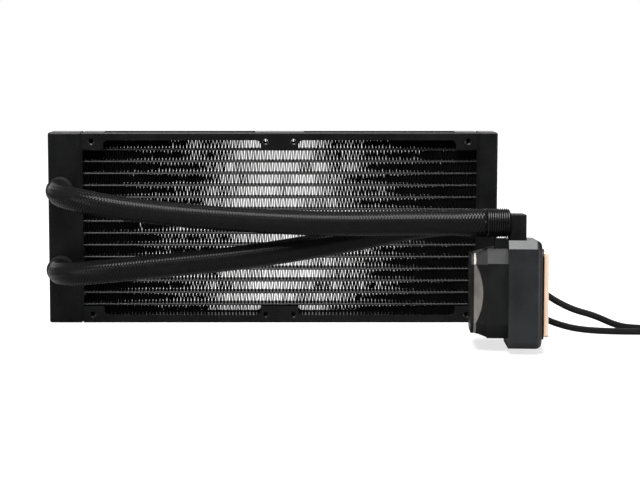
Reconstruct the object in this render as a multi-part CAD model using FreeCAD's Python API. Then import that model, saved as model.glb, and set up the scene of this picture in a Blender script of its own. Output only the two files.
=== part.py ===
"""All in one liquid cooler for a processor, in millimetres, +Z up.

A long radiator for two 140 mm fans stands on its long edge with its front towards -Y.  Two sleeved hoses
leave the front of its left tank and run to the pump, which stands on its side in front of the radiator's
right end: the copper face looks to +X and the cap to -X.  X = 0 is the middle of the fan screw holes,
Y = 0 the middle of the radiator's depth and Z = 0 the surface that the cooler stands on.
"""
import FreeCAD
import Part
import math
import os

V = FreeCAD.Vector

# Radiator
radiator_height = 137.0
radiator_depth = 27.0
core_length = 285.0
left_tank_width = 23.0
right_tank_width = 13.3
tank_wall = 2.0
tank_rounding = 1.6
header_thickness = 1.6
header_inset = 0.8
plate_thickness = 1.0
plate_bend = 1.4
flange_height = 5.6
trough_half_width = 9.0
trough_margin = 4.0

# Core
tube_count = 14
tube_thickness = 1.4
tube_depth = 16.0
tube_overrun = 3.0
stack_margin = 4.7
fin_folds = 27
fin_sheet = 0.25
braze_gap = 0.03

# Fan screw holes
fan_hole_gap = 20.0
fan_hole_from_end = 8.0
fan_hole_from_top = 6.25
fan_hole_radius = 1.6
fan_sink_radius = 2.6
fan_sink_depth = 0.5
corner_tab_width = 15.0
centre_tab_width = 27.0
tab_height = 12.0
tab_rounding = 3.5

# Hose ends on the left tank
port_spacing = 56.3
port_drop = 0.25
port_from_end = 9.2
barb_bore = 3.5
barb_stem_radius = 5.0
barb_radius = 5.4
barb_ridge = 0.4
barb_ridges = 3
barb_length = 16.0
barb_collar_radius = 8.6
barb_collar_length = 3.0
hose_radius = 8.2
hose_fit = 0.1
ferrule_wall = 0.9
ferrule_length = 12.0
ferrule_gap = 1.0

# Filling plug in the right tank's end
plug_radius = 4.5
plug_head_radius = 6.0
plug_head_length = 1.2
plug_socket_radius = 2.0
plug_socket_depth = 2.5
plug_shank_length = 3.5
plug_fit = 0.05

# Pump housing, measured along its axis from the copper face
pump_width = 70.0
pump_chamfer = 5.4
cold_plate_margin = 7.4
cold_plate_chamfer = 1.2
cold_plate_thickness = 3.0
base_flange_margin = 5.75
base_flange_chamfer = 4.0
base_flange_thickness = 1.4
pump_base_length = 21.6
pump_base_rounding = 4.0
cover_width = 58.5
cover_chamfer = 9.5
cover_length = 13.4
cover_wall = 2.2
saddle_from = 5.0
saddle_width = 12.0
saddle_setback = 2.0
saddle_length = 8.2
saddle_step = 0.8
saddle_below_collar = 0.5
bezel_step = 0.6
bezel_length = 8.3
bezel_taper = 3.75
bezel_top_chamfer = 6.5
trim_sphere_radius = 42.0
trim_sphere_height = 25.8
trim_thickness = 1.2
trim_proud = 0.35
trim_gap = 0.15
trim_start = 1.9
panel_foot_margin = 10.85
panel_foot_chamfer = 3.0
panel_margin = 3.25
panel_chamfer = 6.8
panel_thickness = 2.0
panel_gap = 0.1
panel_edge = 0.5

# Pump's inside
water_window_margin = 8.6
micro_fins = 16
micro_fin_thickness = 0.9
micro_fin_margin = 3.0
micro_fin_height = 2.6
gasket_width = 2.4
gasket_thickness = 0.9
gasket_margin = 1.2
jet_plate_thickness = 1.0
jet_slot_width = 2.5
jet_slot_margin = 5.0
jet_seat = 1.6
chamber_floor = 4.6
chamber_radius = 19.0
chamber_depth = 7.0
stator_pocket_margin = 8.0
can_plate_thickness = 2.0
winding_space = 11.0
can_wall = 1.2
can_length = 13.5
shaft_radius = 1.5
shaft_seat = 1.2
shaft_fit = 0.05
bush_radius = 3.0
rotor_end_gap = 0.6
magnet_gap = 1.2
magnet_length = 9.5
impeller_radius = 16.0
impeller_hub_radius = 6.0
impeller_disc_thickness = 1.2
impeller_blades = 7
impeller_blade_thickness = 1.2
impeller_blade_height = 3.6
blade_drop = 7.0
stator_ring_fit = 0.4
stator_ring_wall = 2.4
stator_height = 7.0
stator_poles = 6
stator_pole_width = 5.0
stator_gap = 0.4
coil_thickness = 1.6
coil_length = 5.0
board_thickness = 1.6
board_margin = 0.5
board_from_cover_end = 4.0
chip_size = 7.0
chip_height = 1.0

# Screws of the cold plate
plate_screw_radius = 1.3
plate_screw_head = 2.5
plate_screw_length = 7.5
plate_screw_inset = 3.6
plate_screw_fit = 0.05

# Swivel elbows and their ribbed collars
elbow_spacing = 25.0
elbow_from_flange = 14.7
elbow_width = 10.2
elbow_depth = 14.0
elbow_height = 16.3
elbow_edge = 0.8
elbow_lift = 0.3
elbow_outlet_height = 10.3
elbow_stub_radius = 5.6
elbow_stub_length = 8.0
elbow_fit = 0.05
seal_groove = 1.1
seal_width = 1.6
seal_depth = 3.5
channel_radius = 3.5
channel_drop = 3.6
collar_radius = 9.3
collar_length = 15.4
collar_ribs = 10
collar_rib_depth = 0.9
collar_rib_flat = 0.6
collar_gap = 0.3

# Where the pump stands: turned a little away from the viewer and leaning back on its lower rear edge
pump_place_x = 175.8
pump_place_y = -123.7
pump_lean = 3.9
pump_yaw = -4.0

# Leads
lead_radius = 1.6
lead_floor_gap = 0.2
lead_grommet_width = 9.0
lead_grommet_height = 26.0
lead_grommet_depth = 4.0
lead_spacing = 15.0
lead_from_flange = 11.4
lead_grommet_drop = 3.0
coil_radius = 23.0
coil_band = 7.0
coil_height = 5.4
coil_lead_in = 18.0
lead_in_grommet = 2.5
lead_straight = 15.0
plug_from_middle = 14.0
plug_aside = 10.0
fan_plug_length = 12.0
fan_plug_width = 8.0
fan_plug_height = 6.0
fan_plug_pins = 3
pin_pitch = 2.54
pin_hole = 1.1
pin_depth = 8.0
plug_key_width = 1.2
plug_key_height = 0.8
power_plug_length = 14.0
power_plug_width = 20.0
power_plug_height = 6.0
power_slot_width = 16.0
power_slot_height = 1.6
power_slot_depth = 6.0
power_slot_lip = 1.0
coil_places = {"upper": (V(290.0, -31.0, 0), -1), "lower": (V(287.0, -96.0, 0), 1)}

# Derived places of the radiator
core_half = core_length / 2
front = -radiator_depth / 2
back = radiator_depth / 2
left_end = -core_half - left_tank_width
right_end = core_half + right_tank_width
mid_height = radiator_height / 2
fin_rows = tube_count + 1
fin_height = (radiator_height - 2 * stack_margin - tube_count * tube_thickness) / fin_rows
tube_pitch = fin_height + tube_thickness
stack_height = fin_rows * fin_height + tube_count * tube_thickness
stack_bottom = mid_height - stack_height / 2
stack_top = mid_height + stack_height / 2
fan_hole_pitch = core_half - fan_hole_from_end - fan_hole_gap / 2
fan_hole_xs = [side * (fan_hole_gap / 2 + outer * fan_hole_pitch) for side in (-1, 1) for outer in (0, 1)]
plate_half = core_half - header_thickness - braze_gap
port_x = left_end + port_from_end
port_heights = {"upper": mid_height - port_drop + port_spacing / 2,
                "lower": mid_height - port_drop - port_spacing / 2}

# Derived places along the pump's axis
flange_start = cold_plate_thickness
base_start = flange_start + base_flange_thickness
base_end = base_start + pump_base_length
cover_end = base_end + cover_length
bezel_end = cover_end + bezel_length
chamber_start = base_start + chamber_floor
chamber_end = chamber_start + chamber_depth
can_end = chamber_end + can_plate_thickness + can_length
elbow_z = base_start + elbow_from_flange
lead_z = base_start + lead_from_flange
pump_half = pump_width / 2
cold_plate_width = pump_width - 2 * cold_plate_margin
base_flange_width = pump_width - 2 * base_flange_margin
water_window = cold_plate_width - 2 * water_window_margin
micro_fin_field = water_window - 2 * micro_fin_margin
jet_slot_length = water_window - 2 * jet_slot_margin
stator_pocket_radius = pump_half - stator_pocket_margin
stator_ring_radius = stator_pocket_radius - stator_ring_fit
can_radius = stator_pocket_radius - winding_space
magnet_radius = can_radius - can_wall - magnet_gap
panel_foot_width = cover_width - 2 * panel_foot_margin
elbow_sides = {"front": elbow_spacing / 2, "rear": -elbow_spacing / 2}
elbow_bottom = pump_half + elbow_lift
outlet_y = elbow_bottom + elbow_outlet_height
collar_start = elbow_z + elbow_width / 2 + plug_fit
collar_end = collar_start + collar_length
hose_end = collar_end + collar_gap


def save(name, shape):
    """Write one node."""
    shape.exportStep("parts/" + name + ".step")


def box(x0, x1, y0, y1, z0, z1):
    """A block between two corners."""
    return Part.makeBox(x1 - x0, y1 - y0, z1 - z0, V(x0, y0, z0))


def rod(radius, start, end):
    """A round bar from one point to another."""
    along = end - start
    return Part.makeCylinder(radius, along.Length, start, along)


def sheet_profile(points, along):
    """A closed outline of straight edges, carried along a vector."""
    return Part.Face(Part.makePolygon(points + [points[0]])).extrude(along)


def octagon_points(half, chamfer, z):
    """The eight corners of a square with cut corners."""
    flat = half - chamfer
    signs = [(1, -1, 1), (1, 1, 1), (1, 1, 0), (-1, 1, 0), (-1, 1, 1), (-1, -1, 1), (-1, -1, 0), (1, -1, 0)]
    return [V(sx * (half if long else flat), sy * (flat if long else half), z) for sx, sy, long in signs]


def octagon_block(half, chamfer, z0, z1):
    """A square block with cut corners, along the pump's axis."""
    return sheet_profile(octagon_points(half, chamfer, z0), V(0, 0, z1 - z0))


def octagon_frustum(half0, chamfer0, half1, chamfer1, z0, z1):
    """A block whose outline narrows from one octagon to another."""
    low = octagon_points(half0, chamfer0, z0)
    high = octagon_points(half1, chamfer1, z1)
    return Part.makeLoft([Part.makePolygon(p + [p[0]]) for p in (low, high)], True, True)


def ring(outer, inner, z0, z1, x=0.0, y=0.0):
    """A plain ring about the pump's axis or a line beside it."""
    middle = V(x, y, z0)
    return Part.makeCylinder(outer, z1 - z0, middle).cut(Part.makeCylinder(inner, z1 - z0, middle))


def lathe(profile, start, axis):
    """Turn an outline of (distance along, radius) points about an axis through start."""
    points = [V(r, 0, d) for d, r in profile]
    solid = Part.Face(Part.makePolygon(points + [points[0]])).revolve(V(0, 0, 0), V(0, 0, 1), 360)
    solid.Placement = FreeCAD.Placement(start, FreeCAD.Rotation(V(0, 0, 1), axis))
    return solid


def bent_path(points, name):
    """Straight runs joined by tangent arcs, each 0.45 of its shorter run long, and their radii."""
    edges = []
    here = points[0]
    radii = []
    for before, corner, after in zip(points, points[1:], points[2:]):
        arrive = (corner - before).normalize()
        leave = (after - corner).normalize()
        turn = arrive.getAngle(leave)
        trim = 0.45 * min((corner - before).Length, (after - corner).Length)
        radius = trim / math.tan(turn / 2)
        inward = (leave - arrive).normalize()
        crown = corner + inward * (radius / math.cos(turn / 2) - radius)
        arc_start = corner - arrive * trim
        arc_end = corner + leave * trim
        edges.append(Part.LineSegment(here, arc_start).toShape())
        edges.append(Part.Arc(arc_start, crown, arc_end).toShape())
        here = arc_end
        radii.append(round(radius, 1))
    edges.append(Part.LineSegment(here, points[-1]).toShape())
    print(name, "radii", radii)
    return Part.Wire(edges)


def tube_along(points, radius, name):
    """A round solid along a bent path, compared with its section times its length."""
    path = bent_path(points, name)
    circle = Part.Circle(points[0], points[1] - points[0], radius)
    solid = path.makePipeShell([Part.Wire(circle.toShape())], True, False)
    expected = math.pi * radius ** 2 * path.Length
    print(name, "length", round(path.Length, 1), "volume ratio", round(solid.Volume / expected, 4))
    return solid


def pump_placement():
    """Pump frame to shared frame: x to the viewer, y up and z to the cap, then leaned, turned and set down."""
    upright = FreeCAD.Placement(FreeCAD.Matrix(0, 0, -1, 0, -1, 0, 0, 0, 0, 1, 0, 0, 0, 0, 0, 1)).Rotation
    lean = FreeCAD.Rotation(V(1, 0, 0), -pump_lean)
    yaw = FreeCAD.Rotation(V(0, 0, 1), pump_yaw)
    lean_angle = math.radians(pump_lean)
    rest_height = (pump_half - pump_chamfer) * math.sin(lean_angle) + pump_half * math.cos(lean_angle)
    return FreeCAD.Placement(V(pump_place_x, pump_place_y, rest_height), yaw.multiply(lean).multiply(upright))


PUMP = pump_placement()


def on_pump(shape):
    """Move a solid made in the pump's frame to where the pump stands."""
    placed = shape.copy()
    placed.Placement = PUMP.multiply(placed.Placement)
    return placed


def tank(name, outer_x, inner_x, ports, divided):
    """A hollow end tank, open towards the core, with its front ports."""
    low_x, high_x = min(outer_x, inner_x), max(outer_x, inner_x)
    body = box(low_x, high_x, front, back, 0, radiator_height)
    rounded = [e for e in body.Edges if e.BoundBox.XLength < 0.1 and abs(e.BoundBox.XMin - outer_x) < 0.1]
    rounded += [e for e in body.Edges if e.BoundBox.XLength > 0.1]
    body = body.makeFillet(tank_rounding, rounded)
    inward = 1 if inner_x > outer_x else -1
    wall_x = outer_x + inward * tank_wall
    hollow = box(min(wall_x, inner_x), max(wall_x, inner_x), front + tank_wall, back - tank_wall,
                 tank_wall, radiator_height - tank_wall)
    if divided:
        divider = box(low_x, high_x, front, back, mid_height - tank_wall / 2, mid_height + tank_wall / 2)
        hollow = hollow.cut(divider)
    body = body.cut(hollow)
    for height in ports:
        bore_start, bore_end = V(port_x, front - 1, height), V(port_x, front + tank_wall + 1, height)
        body = body.cut(rod(barb_stem_radius, bore_start, bore_end))
    if not ports:
        body = body.cut(rod(plug_radius + plug_fit, V(outer_x + 1, 0, mid_height), V(wall_x - 1, 0, mid_height)))
        seat_x = outer_x - plug_head_length
        body = body.cut(rod(plug_head_radius + plug_fit, V(outer_x + 1, 0, mid_height), V(seat_x, 0, mid_height)))
    save(name, body)


def tube_outline(x, z, grow):
    """The rounded flat section of one coolant tube, larger by grow all round."""
    half_flat = tube_depth / 2 - tube_thickness / 2
    rise = tube_thickness / 2 + grow
    a, b = V(x, -half_flat, z - rise), V(x, half_flat, z - rise)
    c, d = V(x, half_flat, z + rise), V(x, -half_flat, z + rise)
    right = Part.Arc(b, V(x, half_flat + rise, z), c).toShape()
    left = Part.Arc(d, V(x, -half_flat - rise, z), a).toShape()
    lines = [Part.LineSegment(p, q).toShape() for p, q in ((a, b), (c, d))]
    return Part.Face(Part.Wire([lines[0], right, lines[1], left]))


def tube_z(index):
    """Height of one tube's middle, counted from the bottom."""
    return stack_bottom + fin_height + tube_thickness / 2 + index * tube_pitch


def headers():
    """The slotted plates that hold the tubes' ends and close the tanks."""
    for name, x in (("left_header", -core_half), ("right_header", core_half - header_thickness)):
        plate = box(x, x + header_thickness, front + header_inset, back - header_inset,
                    header_inset, radiator_height - header_inset)
        slots = [tube_outline(x - 1, tube_z(i), braze_gap).extrude(V(header_thickness + 2, 0, 0))
                 for i in range(tube_count)]
        save(name, plate.cut(slots))


def flat_tubes():
    """Fourteen flat coolant tubes, brazed into both headers."""
    length = core_length + 2 * tube_overrun
    tubes = [tube_outline(-length / 2, tube_z(i), 0).extrude(V(length, 0, 0)) for i in range(tube_count)]
    save("flat_tubes", Part.makeCompound(tubes))


def fin_row(index):
    """One corrugated strip: a zigzag sheet between two tubes, as deep as they are."""
    low = stack_bottom + index * tube_pitch + braze_gap
    high = low + fin_height - 2 * braze_gap
    half_fold = plate_half / fin_folds
    slant = math.hypot(half_fold, high - low) / half_fold
    lift = fin_sheet * slant
    steps = range(2 * fin_folds + 1)
    crest = [V(-plate_half + k * half_fold, -tube_depth / 2, high if k % 2 else low + lift) for k in steps]
    root = [V(-plate_half + k * half_fold, -tube_depth / 2, high - lift if k % 2 else low) for k in steps]
    save("fin_row_%02d" % (index + 1), sheet_profile(crest + root[::-1], V(0, tube_depth, 0)))


def side_plate(name, flipped):
    """A channel over the core with two sunk troughs and tabs for the fan screws, made as the upper one."""
    wall = plate_thickness
    top = radiator_height
    low = top - tab_height
    trough = stack_top + braze_gap
    outside = [(front, low), (front, top), (back, top), (back, low)]
    inside = [(back - wall, low), (back - wall, top - wall), (front + wall, top - wall), (front + wall, low)]
    plate = sheet_profile([V(-plate_half, y, z) for y, z in outside + inside], V(2 * plate_half, 0, 0))
    bends = [e for e in plate.Edges if e.BoundBox.XLength > plate_half and e.BoundBox.ZMin > top - 0.01]
    plate = plate.makeFillet(plate_bend, bends)
    for side in (-1, 1):
        x0, x1 = sorted((side * (centre_tab_width / 2 + trough_margin), side * (plate_half - corner_tab_width)))
        pan = box(x0 - wall, x1 + wall, -trough_half_width - wall, trough_half_width + wall, trough, top - wall)
        plate = plate.fuse(pan)
        plate = plate.cut(box(x0, x1, -trough_half_width, trough_half_width, trough + wall, top + 1))
    gap_inner = centre_tab_width / 2
    gap_outer = plate_half - corner_tab_width
    for side in (-1, 1):
        x0, x1 = sorted((side * gap_inner, side * gap_outer))
        window = box(x0, x1, front - 1, back + 1, low - tab_rounding, top - flange_height)
        corners = [e for e in window.Edges if e.BoundBox.YLength > 1 and e.BoundBox.ZMin > low]
        plate = plate.cut(window.makeFillet(tab_rounding, corners))
    hole_z = radiator_height - fan_hole_from_top
    for x in fan_hole_xs:
        plate = plate.cut(rod(fan_hole_radius, V(x, front - 1, hole_z), V(x, back + 1, hole_z)))
        for face, inward in ((front, 1), (back, -1)):
            sink = Part.makeCone(fan_sink_radius, fan_hole_radius, fan_sink_depth,
                                 V(x, face, hole_z), V(0, inward, 0))
            plate = plate.cut(sink)
    if flipped:
        plate.rotate(V(0, 0, mid_height), V(1, 0, 0), 180)
    save(name, plate)


def hose_barb(start, along, stem, collar):
    """A turned hose tail: stem in the wall, collar on the face and ridges that grip the hose."""
    profile = [(-stem, barb_bore), (-stem, barb_stem_radius), (0, barb_stem_radius)]
    if collar:
        profile += [(0, barb_collar_radius), (barb_collar_length, barb_collar_radius)]
    first = barb_collar_length if collar else 0
    profile.append((first, barb_radius - barb_ridge))
    step = (barb_length - 2) / barb_ridges
    for k in range(barb_ridges):
        foot = first + 2 + k * step
        profile += [(foot, barb_radius - barb_ridge), (foot, barb_radius),
                    (foot + step * 0.8, barb_radius - barb_ridge)]
    profile += [(first + barb_length, barb_radius - barb_ridge), (first + barb_length, barb_bore)]
    return lathe(profile, start, along)


def hose_tails():
    """The two hose tails of the left tank with the ferrules that hold the hoses on them."""
    for name, height in port_heights.items():
        face = V(port_x, front, height)
        save(name + "_barb", hose_barb(face, V(0, -1, 0), tank_wall, True))
        begin = barb_collar_length + ferrule_gap
        ferrule = lathe([(begin, hose_radius + plug_fit), (begin, hose_radius + ferrule_wall),
                         (begin + ferrule_length, hose_radius + ferrule_wall),
                         (begin + ferrule_length, hose_radius + plug_fit)], face, V(0, -1, 0))
        save(name + "_ferrule", ferrule)


def filling_plug():
    """A plug with a socket, flush in the right tank's end."""
    start = V(right_end - plug_head_length, 0, mid_height)
    shank = rod(plug_radius, start, start - V(plug_shank_length, 0, 0))
    plug = shank.fuse(rod(plug_head_radius, start, V(right_end, 0, mid_height))).removeSplitter()
    hexagon = [V(right_end, plug_socket_radius * math.cos(math.radians(60 * k)),
                 mid_height + plug_socket_radius * math.sin(math.radians(60 * k))) for k in range(6)]
    save("fill_plug", plug.cut(sheet_profile(hexagon, V(-plug_socket_depth, 0, 0))))


def cold_plate():
    """The copper plate with its thin fins on the wet side and countersunk holes round its edge."""
    plate = octagon_block(cold_plate_width / 2, cold_plate_chamfer, 0, cold_plate_thickness)
    pitch = micro_fin_field / (micro_fins - 1)
    half = micro_fin_field / 2
    for k in range(micro_fins):
        x = -half + k * pitch
        plate = plate.fuse(box(x, x + micro_fin_thickness, -half, half, cold_plate_thickness - 0.5,
                               cold_plate_thickness + micro_fin_height))
    for x, y in plate_screw_places():
        plate = plate.cut(screw_shape(x, y, plate_screw_fit))
    save("cold_plate", on_pump(plate))


def plate_screw_places():
    """Eight places round the copper plate: near its corners and at the middle of its sides."""
    far = cold_plate_width / 2 - plate_screw_inset
    return [(sx * far, sy * far) for sx in (-1, 0, 1) for sy in (-1, 0, 1) if sx or sy]


def screw_shape(x, y, grow):
    """A countersunk screw from the copper face into the housing, larger by grow for its hole."""
    sink = plate_screw_head - plate_screw_radius
    head = Part.makeCone(plate_screw_head + grow, plate_screw_radius + grow, sink, V(x, y, 0))
    return head.fuse(Part.makeCylinder(plate_screw_radius + grow, plate_screw_length + grow, V(x, y, 0)))


def cold_plate_screws():
    """The eight screws that hold the copper plate."""
    save("cold_plate_screws", Part.makeCompound([on_pump(screw_shape(x, y, 0)) for x, y in plate_screw_places()]))


def square_ring(half_outer, half_inner, z0, z1):
    """A flat square frame about the pump's axis."""
    outer = box(-half_outer, half_outer, -half_outer, half_outer, z0, z1)
    return outer.cut(box(-half_inner, half_inner, -half_inner, half_inner, z0, z1))


def base_flange():
    """The black frame between the copper plate and the housing, grooved for the gasket."""
    frame = octagon_block(base_flange_width / 2, base_flange_chamfer, flange_start, base_start)
    window = water_window / 2
    frame = frame.cut(box(-window, window, -window, window, flange_start, base_start))
    inner = window + gasket_margin
    groove = square_ring(inner + gasket_width, inner, flange_start, flange_start + gasket_thickness)
    frame = frame.cut(groove)
    for x, y in plate_screw_places():
        frame = frame.cut(screw_shape(x, y, plate_screw_fit))
    save("base_flange", on_pump(frame))
    gasket = square_ring(inner + gasket_width - plug_fit, inner + plug_fit, flange_start,
                         flange_start + gasket_thickness - plug_fit)
    save("cold_plate_gasket", on_pump(gasket))


def jet_plate():
    """The plate that spreads the coolant over the copper fins through one slot."""
    half = water_window / 2 - plug_fit
    z0 = base_start + jet_seat
    plate = box(-half, half, -half, half, z0, z0 + jet_plate_thickness)
    slot = box(-jet_slot_width / 2, jet_slot_width / 2, -jet_slot_length / 2, jet_slot_length / 2, z0,
               z0 + jet_plate_thickness)
    save("jet_plate", on_pump(plate.cut(slot)))


def pump_base():
    """The housing block: cut-cornered, rounded towards the copper, with chamber, pocket and two ports."""
    block = octagon_block(pump_half, pump_chamfer, base_start, base_end)
    rim = [e for e in block.Edges if e.BoundBox.ZMax < base_start + 0.01]
    block = block.makeFillet(pump_base_rounding, rim)
    window = water_window / 2
    jet_top = base_start + jet_seat + jet_plate_thickness
    block = block.cut(box(-window, window, -window, window, base_start, jet_top))
    block = block.cut(Part.makeCylinder(chamber_radius, chamber_depth, V(0, 0, chamber_start)))
    block = block.cut(Part.makeCylinder(stator_pocket_radius, base_end - chamber_end, V(0, 0, chamber_end)))
    shaft_start = chamber_start - shaft_seat
    block = block.cut(Part.makeCylinder(shaft_radius + shaft_fit, shaft_seat, V(0, 0, shaft_start)))
    for x in elbow_sides.values():
        bore_end = V(x, pump_half - elbow_stub_length - elbow_fit, elbow_z)
        block = block.cut(rod(elbow_stub_radius + elbow_fit, V(x, pump_half + 1, elbow_z), bore_end))
        foot = V(x, chamber_radius * 0.7, chamber_start + channel_radius)
        block = block.cut(rod(channel_radius, bore_end + V(0, 1, -channel_drop), foot))
    for x, y in plate_screw_places():
        block = block.cut(screw_shape(x, y, plate_screw_fit))
    return block


def rotor_can():
    """The partition between coolant and windings, with the can that the magnet turns in."""
    z0 = chamber_end
    z1 = z0 + can_plate_thickness
    plate = Part.makeCylinder(stator_pocket_radius - plug_fit, can_plate_thickness, V(0, 0, z0))
    can = plate.fuse(Part.makeCylinder(can_radius, can_length, V(0, 0, z1)))
    can = can.cut(Part.makeCylinder(can_radius - can_wall, can_end - 2 * can_wall - z0, V(0, 0, z0)))
    seat = Part.makeCylinder(shaft_radius + shaft_fit, shaft_seat, V(0, 0, can_end - 2 * can_wall))
    save("rotor_can", on_pump(can.cut(seat).removeSplitter()))
    shaft_start = chamber_start - shaft_seat
    shaft_end = can_end - 2 * can_wall + shaft_seat
    shaft = Part.makeCylinder(shaft_radius, shaft_end - shaft_start, V(0, 0, shaft_start))
    save("rotor_shaft", on_pump(shaft))


def rotor():
    """The impeller, the magnet and the bush that they turn on."""
    z0 = chamber_start + rotor_end_gap
    magnet_start = z0 + impeller_blade_height + impeller_disc_thickness + 1.6
    magnet_end = magnet_start + magnet_length
    save("rotor_bush", on_pump(ring(bush_radius, shaft_radius + shaft_fit, z0, magnet_end + 0.8)))
    save("rotor_magnet", on_pump(ring(magnet_radius, bush_radius, magnet_start, magnet_end)))
    disc_start = z0 + impeller_blade_height
    wheel = Part.makeCylinder(impeller_radius, impeller_disc_thickness, V(0, 0, disc_start))
    wheel = wheel.fuse(Part.makeCylinder(impeller_hub_radius, magnet_start - z0, V(0, 0, z0)))
    for k in range(impeller_blades):
        blade = curved_blade(z0, disc_start + 0.2)
        blade.rotate(V(0, 0, 0), V(0, 0, 1), 360.0 * k / impeller_blades)
        wheel = wheel.fuse(blade)
    wheel = wheel.cut(Part.makeCylinder(bush_radius, magnet_start - z0, V(0, 0, z0)))
    save("impeller", on_pump(wheel.removeSplitter()))


def curved_blade(z0, z1):
    """One curved blade of even thickness: a piece of a ring that runs from the hub to the rim."""
    middle = (impeller_hub_radius + impeller_radius) / 2
    bend = math.hypot(middle - impeller_hub_radius, blade_drop)
    half = impeller_blade_thickness / 2
    arc = ring(bend + half, bend - half, z0, z1, middle, -blade_drop)
    return arc.common(box(impeller_hub_radius - 0.7, impeller_radius - 0.4, -blade_drop / 3, blade_drop, z0, z1))


def stator():
    """The iron ring with its poles round the can, and the winding on each pole."""
    z0 = chamber_end + can_plate_thickness + 0.5
    z1 = z0 + stator_height
    pole_start = can_radius + stator_gap
    ring_inner = stator_ring_radius - stator_ring_wall
    iron = ring(stator_ring_radius, ring_inner, z0, z1)
    half = stator_pole_width / 2
    rise = (stator_height - coil_length) / 2 + coil_thickness
    coils = []
    for k in range(stator_poles):
        angle = 360.0 * k / stator_poles
        pole = box(pole_start, ring_inner + 0.5, -half, half, z0 + rise, z1 - rise)
        coil = box(pole_start + 1, ring_inner - 0.6, -half - coil_thickness, half + coil_thickness,
                   z0 + rise - coil_thickness, z1 - rise + coil_thickness)
        coil = coil.cut(pole)
        for piece in (pole, coil):
            piece.rotate(V(0, 0, 0), V(0, 0, 1), angle)
        iron = iron.fuse(pole)
        coils.append(on_pump(coil))
    save("stator_core", on_pump(iron.removeSplitter()))
    save("stator_windings", Part.makeCompound(coils))


def cover():
    """The cut-cornered cover over the windings, open towards the base, and the board inside it."""
    half = cover_width / 2
    shell = octagon_block(half, cover_chamfer, base_end, cover_end)
    inner_half = half - cover_wall
    inner_chamfer = cover_chamfer - cover_wall * 0.6
    hollow_end = cover_end - cover_wall
    saddle_top = outlet_y - collar_radius - saddle_below_collar
    saddle_to = saddle_from + saddle_width
    saddle = box(saddle_from, saddle_to, half - cover_wall, saddle_top, base_end, base_end + saddle_length)
    step_bottom = saddle_top - saddle_step
    saddle = saddle.cut(box(saddle_from, saddle_to, step_bottom, saddle_top, base_end, base_end + saddle_setback))
    shell = shell.fuse(saddle)
    shell = shell.cut(octagon_block(inner_half, inner_chamfer, base_end, hollow_end))
    save("pump_cover", on_pump(shell))
    top = cover_end - board_from_cover_end
    board = octagon_block(inner_half - board_margin, inner_chamfer, top - board_thickness, top)
    for x, y in ((-12, 4), (6, -10)):
        board = board.fuse(box(x, x + chip_size, y, y + chip_size, top - 0.2, top + chip_height))
    save("circuit_board", on_pump(board.removeSplitter()))


def bezel_frustum(grow, start, end):
    """The tapering cap between two heights, larger by grow all round: cut-cornered at both ends."""
    low_half = cover_width / 2 - bezel_step
    high_half = cover_width / 2 - bezel_taper
    sizes = []
    for z in (start, end):
        share = (z - cover_end) / bezel_length
        sizes.append(low_half + (high_half - low_half) * share + grow)
        sizes.append(cover_chamfer + (bezel_top_chamfer - cover_chamfer) * share)
    return octagon_frustum(*sizes, start, end)


def cap():
    """The black bezel, the trim let into its slopes and the panel on its foot; a ball cuts the trim's arcs."""
    start = cover_end + trim_start
    bezel = bezel_frustum(0, cover_end, bezel_end)
    core = bezel_frustum(-trim_thickness, cover_end, bezel_end - trim_thickness)
    ball_middle = V(0, 0, bezel_end + trim_sphere_height)
    reach = Part.makeSphere(trim_sphere_radius + trim_gap, ball_middle)
    band = bezel_frustum(1, start, bezel_end + 1).cut(core)
    bezel = bezel.cut(band.common(reach))
    save("bezel", on_pump(bezel))
    outer = bezel_frustum(trim_proud, start + trim_gap, bezel_end + trim_proud)
    inner = bezel_frustum(-trim_thickness + 0.03, cover_end, bezel_end - trim_thickness + 0.03)
    trim = outer.cut(inner).common(Part.makeSphere(trim_sphere_radius, ball_middle))
    foot_half = panel_foot_width / 2
    opening = octagon_block(foot_half + trim_gap, panel_foot_chamfer, cover_end, bezel_end + 1)
    save("trim_ring", on_pump(trim.cut(opening)))
    panel_start = bezel_end + trim_proud + panel_gap
    panel_end = panel_start + panel_thickness
    panel = octagon_block(cover_width / 2 - panel_margin, panel_chamfer, panel_start, panel_end)
    panel = panel.makeChamfer(panel_edge, [e for e in panel.Edges if e.BoundBox.ZMin > panel_end - 0.01])
    foot_end = panel_start + panel_thickness / 2
    foot = octagon_block(foot_half, panel_foot_chamfer, bezel_end - trim_thickness, foot_end)
    save("top_panel", on_pump(panel.fuse(foot).removeSplitter()))


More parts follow.
